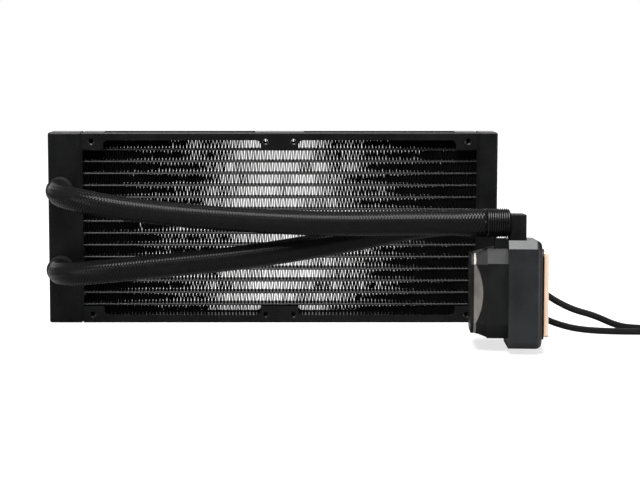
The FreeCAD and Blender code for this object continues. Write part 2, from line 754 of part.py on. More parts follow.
def elbow(name, x):
    """A swivel elbow: stub in the housing's port, square body, and a hose tail inside the collar."""
    half_w = elbow_width / 2
    body = box(x - elbow_depth / 2, x + elbow_depth / 2, elbow_bottom, elbow_bottom + elbow_height,
               elbow_z - half_w, elbow_z + half_w)
    edges = [e for e in body.Edges if e.BoundBox.YLength > 1 or e.BoundBox.YMin > elbow_bottom + 1]
    body = body.makeFillet(elbow_edge, edges)
    stub_end = V(x, pump_half - elbow_stub_length, elbow_z)
    body = body.fuse(rod(elbow_stub_radius, V(x, elbow_bottom + 1, elbow_z), stub_end))
    tail_start = V(x, outlet_y, elbow_z + half_w)
    body = body.fuse(rod(barb_radius, tail_start - V(0, 0, 1), tail_start + V(0, 0, collar_length - 0.5)))
    body = body.cut(rod(channel_radius, stub_end - V(0, 1, 0), V(x, outlet_y, elbow_z)))
    body = body.cut(rod(channel_radius, V(x, outlet_y, elbow_z), tail_start + V(0, 0, collar_length)))
    groove_top = pump_half - seal_depth
    groove_low = groove_top - seal_width
    deep = elbow_stub_radius - seal_groove
    groove = rod(elbow_stub_radius + 1, V(x, groove_low, elbow_z), V(x, groove_top, elbow_z))
    groove = groove.cut(rod(deep, V(x, groove_low, elbow_z), V(x, groove_top, elbow_z)))
    save(name + "_elbow", on_pump(body.cut(groove).removeSplitter()))
    seal = lathe([(plug_fit, deep), (plug_fit, elbow_stub_radius - 0.3), (seal_width / 2, elbow_stub_radius),
                  (seal_width - plug_fit, elbow_stub_radius - 0.3), (seal_width - plug_fit, deep)],
                 V(x, groove_low, elbow_z), V(0, 1, 0))
    save(name + "_elbow_seal", on_pump(seal))
    rib = (collar_length - 1) / collar_ribs
    profile = [(0, barb_radius + plug_fit), (0, collar_radius - collar_rib_depth - 0.8)]
    for k in range(collar_ribs):
        foot = 0.5 + k * rib
        profile += [(foot, collar_radius - collar_rib_depth), (foot + (rib - collar_rib_flat) / 2, collar_radius),
                    (foot + (rib + collar_rib_flat) / 2, collar_radius)]
    profile += [(collar_length, collar_radius - collar_rib_depth), (collar_length, barb_radius + plug_fit)]
    save(name + "_collar", on_pump(lathe(profile, V(x, outlet_y, collar_start), V(0, 0, 1))))


def hose_points():
    """The two hoses' corner points, from the collar on the tank to the collar on the pump."""
    tails = {name: V(port_x, front - barb_collar_length, z) for name, z in port_heights.items()}
    ends = {name: PUMP.multVec(V(x, outlet_y, hose_end)) for name, x in elbow_sides.items()}
    outward = PUMP.Rotation.multVec(V(0, 0, 1))
    ahead = V(0, -36.0, 0)
    upper = [tails["upper"], tails["upper"] + ahead, V(-137.1, -81.0, 93.7), V(-98.0, -87.0, 87.4),
             V(-38.0, -99.0, 83.0), V(34.0, -118.0, 81.3), ends["front"] + outward * 44, ends["front"]]
    lower = [tails["lower"], tails["lower"] + ahead, V(-136.1, -79.0, 43.5), V(-80.0, -83.0, 49.6),
             V(-20.0, -93.0, 56.6), V(48.0, -103.5, 69.4), ends["rear"] + outward * 30, ends["rear"]]
    return {"upper": upper, "lower": lower}


def hoses():
    """The sleeved hoses with the coolant in them, bored only where the tank's hose tails stand in them."""
    for name, points in hose_points().items():
        hose = tube_along(points, hose_radius, name + "_hose")
        socket = rod(barb_radius + hose_fit, points[0] + V(0, 1, 0), points[0] - V(0, barb_length + hose_fit, 0))
        save(name + "_hose", hose.cut(socket))


def lead_exits():
    """Where the two leads leave the grommet on the housing's rear face, in the pump's frame."""
    x = -pump_half - lead_grommet_depth
    return {"upper": V(x, lead_spacing / 2 - lead_grommet_drop, lead_z),
            "lower": V(x, -lead_spacing / 2 - lead_grommet_drop, lead_z)}


def grommet():
    """The rubber piece that both leads come out of."""
    x = -pump_half
    half_w = lead_grommet_width / 2
    half_h = lead_grommet_height / 2
    body = box(x - lead_grommet_depth, x, -half_h - lead_grommet_drop, half_h - lead_grommet_drop,
               lead_z - half_w, lead_z + half_w)
    edges = [e for e in body.Edges if e.BoundBox.XLength > 1]
    body = body.makeFillet(half_w * 0.6, edges)
    for spot in lead_exits().values():
        body = body.cut(rod(lead_radius + plug_fit, spot - V(1, 0, 0), spot + V(lead_in_grommet + plug_fit, 0, 0)))
    save("lead_grommet", on_pump(body))


def lead_points():
    """The leads' corner points: out of the grommet, down behind the pump and along the surface to the coils."""
    starts = {name: PUMP.multVec(spot + V(lead_in_grommet, 0, 0)) for name, spot in lead_exits().items()}
    ahead = PUMP.Rotation.multVec(V(-lead_straight, 0, 0))
    low = lead_radius + lead_floor_gap
    ends = {name: coil_entry(name) for name in starts}
    upper = [starts["upper"], starts["upper"] + ahead, V(164.0, -58.0, 36.0), V(177.5, -56.0, 32.0),
             V(191.0, -57.5, 22.5), V(204.0, -59.0, 16.0), V(219.0, -59.0, 12.0), V(236.0, -57.0, 3.4),
             V(252.0, ends["upper"].y, low), ends["upper"]]
    lower = [starts["lower"], starts["lower"] + ahead, V(165.0, -59.5, 18.5), V(178.0, -59.0, 12.6),
             V(191.0, -61.0, 6.8), V(206.0, -64.5, 2.6), V(224.0, -69.0, low),
             V(244.0, ends["lower"].y, low), ends["lower"]]
    return {"upper": upper, "lower": lower}


def coil_entry(name):
    """Where a lead runs into its coil: level with the coil's middle turn, one lead-in before the tangent point."""
    middle, side = coil_places[name]
    return V(middle.x - coil_lead_in, middle.y + side * coil_radius, lead_radius + lead_floor_gap)


def leads():
    """Each lead as a plain tube up to its coil, and the coil's outer shape."""
    for name, points in lead_points().items():
        save(name + "_lead", tube_along(points, lead_radius, name + "_lead"))
        middle, side = coil_places[name]
        coil = ring(coil_radius + coil_band / 2, coil_radius - coil_band / 2, 0, coil_height, middle.x, middle.y)
        entry = coil_entry(name)
        lead_in = box(entry.x, middle.x, entry.y - lead_radius, entry.y + lead_radius, 0, coil_height)
        save(name + "_lead_coil", coil.fuse(lead_in).removeSplitter())


def fan_plug():
    """The upper lead's plug, lying on its coil: a block with two keys on top and a row of pin holes."""
    middle, side = coil_places["upper"]
    x0 = middle.x + plug_from_middle
    x1 = x0 + fan_plug_length
    y = middle.y + side * plug_aside
    top = coil_height + fan_plug_height - plug_key_height
    half = fan_plug_width / 2
    plug = box(x0, x1, y - half, y + half, coil_height, top)
    for key_y in (y - half, y + half - plug_key_width):
        plug = plug.fuse(box(x0, x1, key_y, key_y + plug_key_width, top - 0.5, top + plug_key_height))
    pin_z = (coil_height + top) / 2
    for k in range(fan_plug_pins):
        pin_y = y + (k - (fan_plug_pins - 1) / 2) * pin_pitch
        plug = plug.cut(box(x1 - pin_depth, x1 + 1, pin_y - pin_hole / 2, pin_y + pin_hole / 2,
                            pin_z - pin_hole / 2, pin_z + pin_hole / 2))
    save("fan_plug", plug.removeSplitter())


def power_plug():
    """The lower lead's plug, lying on its coil: a flat block with the bent slot that such plugs have."""
    middle, side = coil_places["lower"]
    x0 = middle.x + plug_from_middle
    x1 = x0 + power_plug_length
    y = middle.y + side * plug_aside
    top = coil_height + power_plug_height
    slot_x = x1 - power_slot_depth
    slot_z = (coil_height + top - power_slot_height) / 2
    y0, y1 = y - power_slot_width / 2, y + power_slot_width / 2
    plug = box(x0, x1, y - power_plug_width / 2, y + power_plug_width / 2, coil_height, top)
    slot = box(slot_x, x1 + 1, y0, y1, slot_z, slot_z + power_slot_height)
    lip = box(slot_x, x1 + 1, y0, y0 + power_slot_height, slot_z - power_slot_lip, slot_z + power_slot_height)
    save("power_plug", plug.cut(slot).cut(lip))


tank("left_tank", left_end, -core_half, list(port_heights.values()), True)
tank("right_tank", right_end, core_half, [], False)
headers()
flat_tubes()
for row in range(fin_rows):
    fin_row(row)
side_plate("top_side_plate", False)
side_plate("bottom_side_plate", True)
hose_tails()
filling_plug()
hoses()
cold_plate()
cold_plate_screws()
base_flange()
jet_plate()
save("pump_base", on_pump(pump_base()))
rotor_can()
rotor()
stator()
cover()
cap()
for elbow_name, elbow_x in elbow_sides.items():
    elbow(elbow_name, elbow_x)
grommet()
leads()
fan_plug()
power_plug()
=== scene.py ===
"""Looks of the all in one liquid cooler, in metres, in the frame of its CAD model.

The radiator stands on its long edge with its front towards -Y, the pump stands in front of its right end.
Every sheet that is made here is a function of two parameters, worked out on a grid.
"""
import math

import bpy
import numpy as np
from mathutils import Euler, Matrix, Vector

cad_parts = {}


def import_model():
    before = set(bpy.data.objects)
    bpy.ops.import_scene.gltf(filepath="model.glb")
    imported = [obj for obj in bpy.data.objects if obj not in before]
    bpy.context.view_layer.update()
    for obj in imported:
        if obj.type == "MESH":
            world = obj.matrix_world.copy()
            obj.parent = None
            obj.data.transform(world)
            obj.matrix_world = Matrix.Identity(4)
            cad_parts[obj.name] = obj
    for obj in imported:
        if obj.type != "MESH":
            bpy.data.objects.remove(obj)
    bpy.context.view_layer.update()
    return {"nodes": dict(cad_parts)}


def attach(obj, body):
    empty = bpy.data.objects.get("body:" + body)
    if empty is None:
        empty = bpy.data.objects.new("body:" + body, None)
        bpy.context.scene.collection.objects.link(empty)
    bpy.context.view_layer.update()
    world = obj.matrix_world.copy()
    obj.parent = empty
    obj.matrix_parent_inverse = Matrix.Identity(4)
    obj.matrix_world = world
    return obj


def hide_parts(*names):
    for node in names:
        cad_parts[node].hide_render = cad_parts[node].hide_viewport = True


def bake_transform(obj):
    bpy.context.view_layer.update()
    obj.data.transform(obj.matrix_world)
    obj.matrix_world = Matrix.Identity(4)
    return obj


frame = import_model()
nodes = frame["nodes"]
MM = 0.001

# The pump's place, as in the CAD source
PUMP_X, PUMP_Y = 175.8, -123.7
PUMP_LEAN, PUMP_YAW = math.radians(3.9), math.radians(-4.0)
PUMP_HALF, PUMP_CUT = 35.0, 5.4


def pump_matrix():
    """The pump's own frame set in the shared frame.

    In it x points to the viewer, y up and z to the cap, all in millimetres.
    """
    upright = Matrix(((0, 0, -1), (-1, 0, 0), (0, 1, 0)))
    turn = Matrix.Rotation(PUMP_YAW, 3, "Z") @ Matrix.Rotation(-PUMP_LEAN, 3, "X") @ upright
    rest = (PUMP_HALF - PUMP_CUT) * math.sin(PUMP_LEAN) + PUMP_HALF * math.cos(PUMP_LEAN)
    place = Matrix.Translation(Vector((PUMP_X, PUMP_Y, rest)) * MM)
    return place @ (turn * MM).to_4x4()


PUMP = pump_matrix()


def on_pump(x, y, z):
    """A point of the pump's frame in the shared frame."""
    return PUMP @ Vector((x, y, z))


def mm(*points):
    """Points written in millimetres, in metres."""
    return [Vector(p) * MM for p in points]


# Camera

camera = bpy.data.objects.new("camera", bpy.data.cameras.new("camera"))
bpy.context.scene.collection.objects.link(camera)
camera.data.lens = 106.875
camera.data.sensor_width = 36.0
camera.data.shift_x = 0.0632
camera.location = (0.0, -1.3682, 0.2025)
camera.rotation_euler = Euler((math.radians(90 - 6.008), 0, 0))
bpy.context.scene.camera = camera


# Meshes

def link(obj):
    """Put an object in the scene."""
    bpy.context.scene.collection.objects.link(obj)
    return obj


def sheet_mesh(name, grid, around=False, uv=None, smooth=True):
    """A mesh from a grid of points (rows, columns, 3), closed around its columns if asked."""
    rows, columns = grid.shape[:2]
    r = np.arange(rows - 1)
    c = np.arange(columns if around else columns - 1)
    r, c = (a.ravel() for a in np.meshgrid(r, c, indexing="ij"))
    next_c = (c + 1) % columns
    low, high = r * columns, (r + 1) * columns
    faces = np.stack([low + c, low + next_c, high + next_c, high + c], 1)
    mesh = bpy.data.meshes.new(name)
    mesh.vertices.add(rows * columns)
    mesh.vertices.foreach_set("co", grid.reshape(-1).astype(np.float32))
    mesh.loops.add(faces.size)
    mesh.loops.foreach_set("vertex_index", faces.ravel().astype(np.int32))
    mesh.polygons.add(len(faces))
    mesh.polygons.foreach_set("loop_start", np.arange(0, faces.size, 4, dtype=np.int32))
    mesh.polygons.foreach_set("use_smooth", np.full(len(faces), smooth))
    if uv is not None:
        u, v = uv
        layer = mesh.uv_layers.new(name="UVMap")
        corner_u = np.stack([u[c], u[c + 1], u[c + 1], u[c]], 1)
        corner_v = np.stack([v[r], v[r], v[r + 1], v[r + 1]], 1)
        layer.data.foreach_set("uv", np.stack([corner_u, corner_v], 2).ravel().astype(np.float32))
    mesh.update()
    mesh.validate()
    return mesh


def piece(name, mesh, body, material, stands_for):
    """An object of the cooler from a finished mesh, riding on a body if one is given."""
    obj = link(bpy.data.objects.new(name, mesh))
    mesh.materials.append(material)
    if body:
        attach(obj, body)
    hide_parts(*stands_for)
    return obj


def route_line(name, points, step):
    """Points a step apart along the NURBS spline of a route."""
    curve = bpy.data.curves.new(name, "CURVE")
    curve.dimensions = "3D"
    curve.resolution_u = 24
    spline = curve.splines.new("NURBS")
    spline.points.add(len(points) - 1)
    for corner, point in zip(spline.points, points):
        corner.co = (*point, 1.0)
    spline.order_u = 3
    spline.use_endpoint_u = True
    holder = bpy.data.objects.new(name, curve)
    mesh = bpy.data.meshes.new_from_object(holder)
    line = np.empty(len(mesh.vertices) * 3)
    mesh.vertices.foreach_get("co", line)
    line = line.reshape(-1, 3)
    bpy.data.objects.remove(holder)
    bpy.data.curves.remove(curve)
    bpy.data.meshes.remove(mesh)
    reach = np.concatenate([[0], np.cumsum(np.linalg.norm(np.diff(line, axis=0), axis=1))])
    count = max(2, int(round(reach[-1] / step)))
    at = np.linspace(0, reach[-1], count + 1)
    return np.stack([np.interp(at, reach, line[:, k]) for k in range(3)], 1), at


def unit(v):
    """Vectors of length one."""
    return v / np.maximum(np.linalg.norm(v, axis=-1, keepdims=True), 1e-12)


def frames_along(line, upward):
    """Directions across and up at each point of a line, with up as near as it can be to the one given."""
    tangent = unit(np.gradient(line, axis=0))
    padded = np.pad(tangent, ((1, 1), (0, 0)), "edge")
    tangent = unit(tangent + padded[:-2] + padded[2:])
    up = unit(upward - (tangent * upward).sum(1, keepdims=True) * tangent)
    across = np.cross(tangent, up)
    return across, up


def swept(line, across, up, section):
    """A section (columns, 2), or one per row, carried along a line and closed with a point at each end."""
    section = np.broadcast_to(section, (len(line),) + section.shape[-2:])
    grid = line[:, None] + section[..., :1] * across[:, None] + section[..., 1:] * up[:, None]
    ends = [np.broadcast_to(line[k], (1,) + grid.shape[1:]) for k in (0, -1)]
    return np.concatenate([ends[0], grid, ends[1]])


def tube(name, line, at, section, upward):
    """A closed tube with its own map: columns run round it, from 0 to 1, and rows along it, in metres."""
    across, up = frames_along(line, np.array(upward, float))
    grid = swept(line, across, up, section)
    columns = grid.shape[1]
    v = np.concatenate([[at[0]], at, [at[-1]]])
    return sheet_mesh(name, grid, around=True, uv=(np.arange(columns + 1) / columns, v))


# Shader helpers

GRAIN_SCALE = 2500.0
GRAIN_DEPTH = 0.1 * MM
STRAND_ROUND = 0.6
STRAND_DEPTH = 0.4 * MM
# Painted shade: the share of the strands' colour that the gaps between strands are painted with
GAP_PAINTED_SHADE = 0.35


class Nodes:
    """Short names for the nodes and links of one tree."""

    def __init__(self, tree):
        self.tree = tree

    def add(self, kind, inputs=(), **settings):
        """A node with its settings and its inputs, which are values or the outputs of other nodes."""
        node = self.tree.nodes.new(kind)
        for key, value in settings.items():
            setattr(node, key, value)
        for key, value in dict(inputs).items():
            if isinstance(value, bpy.types.NodeSocket):
                self.tree.links.new(value, node.inputs[key])
            else:
                node.inputs[key].default_value = value
        return node

    def math(self, operation, *values):
        """One step of arithmetic."""
        return self.add("ShaderNodeMath", enumerate(values), operation=operation).outputs[0]

    def ramp(self, value, low, high, to_low=0.0, to_high=1.0):
        """A value moved from one range to another and kept inside it."""
        inputs = {0: value, 1: low, 2: high, 3: to_low, 4: to_high}
        return self.add("ShaderNodeMapRange", inputs).outputs[0]

    def mix(self, factor, a, b):
        """A colour between two."""
        node = self.add("ShaderNodeMix", {0: factor, 6: a, 7: b}, data_type="RGBA")
        return node.outputs[2]


def colour(grey, g=None, b=None):
    """A colour from a grey or three parts."""
    return (grey, grey if g is None else g, grey if b is None else b, 1.0)


def new_group(name, inputs, outputs):
    """A node group with float inputs; returns the group, its nodes, its inputs and its output node."""
    group = bpy.data.node_groups.new(name, "ShaderNodeTree")
    for label, value in inputs:
        socket = group.interface.new_socket(label, in_out="INPUT", socket_type="NodeSocketFloat")
        socket.default_value = value
    for label in outputs:
        group.interface.new_socket(label, in_out="OUTPUT", socket_type="NodeSocketFloat")
    n = Nodes(group)
    return group, n, n.add("NodeGroupInput").outputs, n.add("NodeGroupOutput")


def speckle_group():
    """Fine moulded or painted grain: a height from noise at two sizes, and a slow mottling."""
    group, n, given, out = new_group("surface_grain", [("Mottle", 60.0)], ["Height", "Patches"])
    place = n.add("ShaderNodeTexCoord").outputs["Object"]
    fine = n.add("ShaderNodeTexNoise", {"Vector": place, "Scale": GRAIN_SCALE, "Detail": 2.0})
    slow = n.add("ShaderNodeTexNoise", {"Vector": place, "Scale": given["Mottle"], "Detail": 3.0})
    n.tree.links.new(fine.outputs[0], out.inputs["Height"])
    n.tree.links.new(slow.outputs[0], out.inputs["Patches"])
    return group


def braid_group():
    """A sleeve of two families of crossing strands, over one and under one.

    The map's columns run round the sleeve and its rows along it. Each strand is round, and where it goes
    under the other it dips.
    """
    group, n, given, out = new_group("braid", [("Around", 36.0), ("Along", 900.0)], ["Height"])
    place = n.add("ShaderNodeSeparateXYZ", {0: n.add("ShaderNodeUVMap").outputs[0]})
    u = n.math("MULTIPLY", place.outputs[0], given["Around"])
    v = n.math("MULTIPLY", place.outputs[1], given["Along"])
    p, q = n.math("ADD", u, v), n.math("SUBTRACT", u, v)
    round_p = n.math("ABSOLUTE", n.math("SINE", n.math("MULTIPLY", p, math.pi)))
    round_q = n.math("ABSOLUTE", n.math("SINE", n.math("MULTIPLY", q, math.pi)))
    cell = n.math("ADD", n.math("FLOOR", p), n.math("FLOOR", q))
    over = n.math("PINGPONG", cell, 1.0)
    height_p = n.math("MULTIPLY", n.math("POWER", round_p, STRAND_ROUND), over)
    under = n.math("SUBTRACT", 1.0, over)
    height_q = n.math("MULTIPLY", n.math("POWER", round_q, STRAND_ROUND), under)
    n.tree.links.new(n.math("ADD", height_p, height_q), out.inputs["Height"])
    return group


GRAIN = speckle_group()
BRAID = braid_group()


def new_material(name, settings):
    """A material with a Principled shader; returns it, its nodes and the shader."""
    material = bpy.data.materials.new(name)
    material.use_nodes = True
    n = Nodes(material.node_tree)
    shader = material.node_tree.nodes["Principled BSDF"]
    for key, value in settings.items():
        shader.inputs[key].default_value = value
    return material, n, shader


def plain(name, base, rough, specular, metallic=0.0, grain=0.0, patches=0.25):
    """Paint, moulding or metal with a little grain and a mottled roughness."""
    settings = {"Roughness": rough, "Specular IOR Level": specular, "Metallic": metallic}
    material, n, shader = new_material(name, settings)
    texture = n.add("ShaderNodeGroup", node_tree=GRAIN)
    mottle = n.ramp(texture.outputs["Patches"], 0.35, 0.65)
    dark = tuple(c * (1 - patches) for c in base[:3]) + (1.0,)
    light = tuple(min(1.0, c * (1 + patches)) for c in base[:3]) + (1.0,)
    n.tree.links.new(n.mix(mottle, dark, light), shader.inputs["Base Color"])
    roughness = n.ramp(texture.outputs["Patches"], 0.3, 0.7, rough * 0.88, min(1.0, rough * 1.12))
    n.tree.links.new(roughness, shader.inputs["Roughness"])
    if grain:
        height = texture.outputs["Height"]
        bump = n.add("ShaderNodeBump", {"Strength": grain, "Distance": GRAIN_DEPTH, "Height": height})
        n.tree.links.new(bump.outputs[0], shader.inputs["Normal"])
    return material


def sleeve(name, base, rough, around, along, strength, specular):
    """A braided sleeve: the strands' relief, dull gaps between them, and painted shade that darkens the
    base colour in the gaps.
    """
    material, n, shader = new_material(name, {"Roughness": rough})
    braid = n.add("ShaderNodeGroup", node_tree=BRAID)
    braid.inputs["Around"].default_value = around
    braid.inputs["Along"].default_value = along
    grain = n.add("ShaderNodeGroup", node_tree=GRAIN)
    grain.inputs["Mottle"].default_value = 140.0
    height = braid.outputs["Height"]
    # Painted shade: the base colour falls to this darker copy in the gaps between strands, mixed by strand
    # height and a random mottle
    low = tuple(c * GAP_PAINTED_SHADE for c in base[:3]) + (1.0,)
    worn = n.ramp(grain.outputs["Patches"], 0.3, 0.7, 0.6, 1.0)
    painted_shade_and_mottle = n.math("MULTIPLY", height, worn)
    n.tree.links.new(n.mix(painted_shade_and_mottle, low, base), shader.inputs["Base Color"])
    shine = n.ramp(height, 0.6, 1.0, 0.0, specular * 2.0)
    n.tree.links.new(shine, shader.inputs["Specular IOR Level"])
    bump = n.add("ShaderNodeBump", {"Strength": strength, "Distance": STRAND_DEPTH, "Height": height})
    n.tree.links.new(bump.outputs[0], shader.inputs["Normal"])
    return material


RADIATOR = plain("radiator_paint", colour(0.0050, 0.0051, 0.0053), 0.28, 0.13, grain=0.08)
CORE = plain("core_paint", colour(0.005), 0.75, 0.06)
TUBE = plain("tube_paint", colour(0.008), 0.36, 0.35, grain=0.1)
FITTING = plain("fitting_black", colour(0.012), 0.35, 0.5)
HOUSING = plain("housing_black", colour(0.0095, 0.0100, 0.0112), 0.33, 0.42, grain=0.08)
COVER = plain("cover_black", colour(0.0060, 0.0062, 0.0065), 0.42, 0.16, grain=0.12)
BEZEL = plain("bezel_black", colour(0.007), 0.40, 0.10)
TRIM = plain("trim_grey", colour(0.23, 0.216, 0.20), 0.36, 0.5, metallic=0.85)
PANEL = plain("panel_dark", colour(0.009), 0.3, 0.08)
ELBOW = plain("elbow_black", colour(0.0055), 0.42, 0.09, grain=0.08)
COLLAR = plain("collar_black", colour(0.006), 0.3, 0.22)
COPPER = plain("copper", colour(1.0, 0.72, 0.54), 0.5, 0.5, metallic=0.5, grain=0.05, patches=0.04)
WINDING = plain("winding_copper", colour(0.55, 0.22, 0.08), 0.35, 0.5, metallic=0.9)
STEEL = plain("steel", colour(0.5, 0.5, 0.51), 0.3, 0.5, metallic=1.0, patches=0.05)
RUBBER = plain("seal_rubber", colour(0.010), 0.6, 0.3)
MAGNET = plain("magnet_dark", colour(0.03), 0.45, 0.5, metallic=0.4)
PLASTIC = plain("inner_plastic", colour(0.25, 0.25, 0.24), 0.45, 0.5)
BOARD = plain("board_green", colour(0.01, 0.07, 0.025), 0.35, 0.5)
PLUG = plain("plug_black", colour(0.013), 0.4, 0.45)
HOSE_SLEEVE = sleeve("hose_sleeve", colour(0.008), 0.20, 14.0, 500.0, 0.60, 0.095)
LEAD_SLEEVE = sleeve("lead_sleeve", colour(0.006), 0.40, 9.0, 750.0, 0.8, 0.2)

PAINT = {
    RADIATOR: ["left_tank", "right_tank", "left_header", "right_header",
               "top_side_plate", "bottom_side_plate"],
    TUBE: ["flat_tubes"],
    FITTING: ["fill_plug", "upper_barb", "lower_barb", "upper_ferrule", "lower_ferrule"],
    HOUSING: ["pump_base"],
    COVER: ["pump_cover", "base_flange"],
    BEZEL: ["bezel"],
    TRIM: ["trim_ring"],
    PANEL: ["top_panel"],
    ELBOW: ["front_elbow", "rear_elbow"],
    COLLAR: ["front_collar", "rear_collar"],
    COPPER: ["cold_plate"],
    WINDING: ["stator_windings"],
    STEEL: ["cold_plate_screws", "rotor_shaft", "stator_core"],
    RUBBER: ["cold_plate_gasket", "front_elbow_seal", "rear_elbow_seal", "lead_grommet"],
    MAGNET: ["rotor_magnet"],
    PLASTIC: ["jet_plate", "rotor_can", "impeller", "rotor_bush"],
    BOARD: ["circuit_board"],
    PLUG: ["fan_plug", "power_plug"],
}
for material, names in PAINT.items():
    for name in names:
        for spot in nodes[name].material_slots:
            spot.material = material


# Leads

LEAD_WIDTH = 4.6 * MM
LEAD_THICKNESS = 2.0 * MM
LEAD_STEP = 1.2 * MM
LEAD_WIRES, LEAD_COLUMNS = 4, 20
COIL_OUTER, COIL_PITCH, COIL_TURNS, COIL_POINTS = 25.0, 2.5, 1.75, 16
LEAD_Z = 2.5
GROMMET_DEPTH = 15.8
GROMMET_INSIDE, GROMMET_FACE, GROMMET_PAST = -36.5, -39.0, -51.5
GROMMET_HEIGHT = {"upper": 4.5, "lower": -10.5}
TO_PLUG = ((-19.5, 6.5, 0.0), (-15.0, 10.0, 0.6), (-6.0, 10.6, 2.2), (4.0, 10.0, 5.2), (14.6, 10.0, 5.6))


def coil_points(x, y, side):
    """A neat flat coil wound inwards, then across its middle and up to the plug that lies on it.

    The radius falls by one pitch a turn. side is -1 where the lead comes in on the viewer's side.
    """
    count = int(COIL_TURNS * COIL_POINTS)
    points = []
    for k in range(count + 1):
        turned = 2 * math.pi * k / COIL_POINTS
        radius = COIL_OUTER - COIL_PITCH * turned / (2 * math.pi)
        points.append((x + radius * math.sin(turned), y + side * radius * math.cos(turned), LEAD_Z))
    return points + [(x + dx, y + side * dy, LEAD_Z + dz) for dx, dy, dz in TO_PLUG]


def flat_section(width, thickness, wires, columns):
    """A flat cable's section: a rounded bar whose two faces swell over each wire."""
    turn = np.linspace(0, 2 * math.pi, columns, endpoint=False)
    across = np.sign(np.sin(turn)) * np.abs(np.sin(turn)) ** 0.7 * thickness / 2
    along = np.sign(np.cos(turn)) * np.abs(np.cos(turn)) ** 0.7 * width / 2
    swell = 1 - 0.16 * np.abs(np.sin(along / width * wires * math.pi))
    return np.stack([across * swell, along], 1)


def leads():
    """Both leads as flat sleeved cables: out of the grommet, down behind the pump and into their coils."""
    routes = {
        "upper": mm((164.0, -58.0, 36.0), (177.5, -56.0, 32.0), (191.0, -57.5, 22.5), (204.0, -59.0, 16.0),
                    (219.0, -59.0, 12.0), (236.0, -57.0, 4.0), (252.0, -55.5, LEAD_Z),
                    (272.0, -56.0, LEAD_Z), *coil_points(290.0, -31.0, -1)),
        "lower": mm((165.0, -59.5, 18.5), (178.0, -59.0, 12.6), (191.0, -61.0, 6.8), (206.0, -64.5, 3.2),
                    (224.0, -69.0, LEAD_Z), (244.0, -71.5, LEAD_Z), (269.0, -71.0, LEAD_Z),
                    *coil_points(287.0, -96.0, 1)),
    }
    section = flat_section(LEAD_WIDTH, LEAD_THICKNESS, LEAD_WIRES, LEAD_COLUMNS)
    for name, route in routes.items():
        height = GROMMET_HEIGHT[name]
        inside = on_pump(GROMMET_INSIDE, height, GROMMET_DEPTH)
        past = on_pump(GROMMET_PAST, height, GROMMET_DEPTH)
        line, at = route_line(name, [inside, past] + route, LEAD_STEP)
        mesh = tube(name + "_lead_sleeve", line, at, section, (0, 0, 1))
        lead = piece(name + "_flat_lead", mesh, "cooler", LEAD_SLEEVE,
                     (name + "_lead", name + "_lead_coil"))


leads()


# Hoses

HOSE_RADIUS = 8.2 * MM
HOSE_STEP = 1.5 * MM
HOSE_COLUMNS = 72
FLARE = 1.0 * MM
FLARE_LENGTH = 22.0 * MM
FLUTES, FLUTE_PHASE, FLUTE_DEPTH = 10, 2.6, 0.05 * MM
PORT_SPREAD, OUTLET_Y, HOSE_END = 12.5, 45.6, 39.95
LEAVES_COLLAR = {"upper": 44.0 * MM, "lower": 30.0 * MM}


def hose_section(at):
    """The sleeve's section: a circle with faint flutes that widens towards the collar on the pump."""
    turn = np.linspace(0, 2 * math.pi, HOSE_COLUMNS, endpoint=False)
    circle = np.stack([np.cos(turn), np.sin(turn)], 1)
    near = np.clip(1 - (at[-1] - at) / FLARE_LENGTH, 0, 1)
    grow = FLARE * near ** 1.5 * (3 - 2 * near)
    flutes = FLUTE_DEPTH * (np.cos(FLUTES * turn - FLUTE_PHASE) - 1)
    return circle[None] * (HOSE_RADIUS + grow[:, None] + flutes[None])[..., None]


def hoses():
    """Both sleeved hoses, from the collars on the tank to the collars on the pump."""
    outward = (on_pump(0, 0, 1) - on_pump(0, 0, 0)).normalized()
    ends = {"upper": on_pump(PORT_SPREAD, OUTLET_Y, HOSE_END),
            "lower": on_pump(-PORT_SPREAD, OUTLET_Y, HOSE_END)}
    routes = {
        "upper": mm((-156.3, -16.5, 96.4), (-156.3, -52.5, 96.4), (-137.1, -81.0, 93.7),
                    (-98.0, -87.0, 87.4), (-38.0, -99.0, 83.0), (34.0, -118.0, 81.3)),
        "lower": mm((-156.3, -16.5, 40.1), (-156.3, -52.5, 40.1), (-136.1, -79.0, 43.5),
                    (-80.0, -83.0, 49.6), (-20.0, -93.0, 56.6), (48.0, -103.5, 69.4)),
    }
    for name, route in routes.items():
        before = ends[name] + outward * LEAVES_COLLAR[name]
        line, at = route_line(name, route + [before, ends[name]], HOSE_STEP)
        mesh = tube(name + "_hose_sleeve", line, at, hose_section(at), (0, 0.35, 0.94))
        hose = piece(name + "_sleeved_hose", mesh, None, HOSE_SLEEVE, (name + "_hose",))
        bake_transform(hose)


hoses()


# Fins

FIN_ROWS, TUBE_PITCH, FIN_HEIGHT = 15, 8.6, 7.2
STACK_BOTTOM = 4.7
FIN_HALF, FIN_DEPTH = 140.87, 16.0
FIN_PERIODS = 112
FIN_SHEET, LOUVRE = 0.13, 0.25
FIN_GAP = 0.04
SLOW_LEAN, SLOW_SHIFT, QUICK = 0.09, 0.08, 0.05
FOLD_SHARE, LEAN_SHARE = 0.14, 0.8
PLACES = np.array([0.0, 0.30, 0.36, 0.64, 0.70, 1.0])
LEVELS = np.array([0.0, 0.0, 0.10, 0.90, 1.0, 1.0])
DEPTHS = np.linspace(0.0, 1.0, 9)
LOUVRES = np.array([1.0, -1.0, 1.0, -1.0, 1.0, -1.0, 1.0, -1.0, 1.0])


def smooth_noise(rng, count, spacing):
    """A seeded random curve: random values at even spacing, joined smoothly."""
    knots = rng.standard_normal(int(count / spacing) + 3)
    at = np.arange(count) / spacing
    low = at.astype(int)
    t = at - low
    t = t * t * (3 - 2 * t)
    return knots[low] * (1 - t) + knots[low + 1] * t


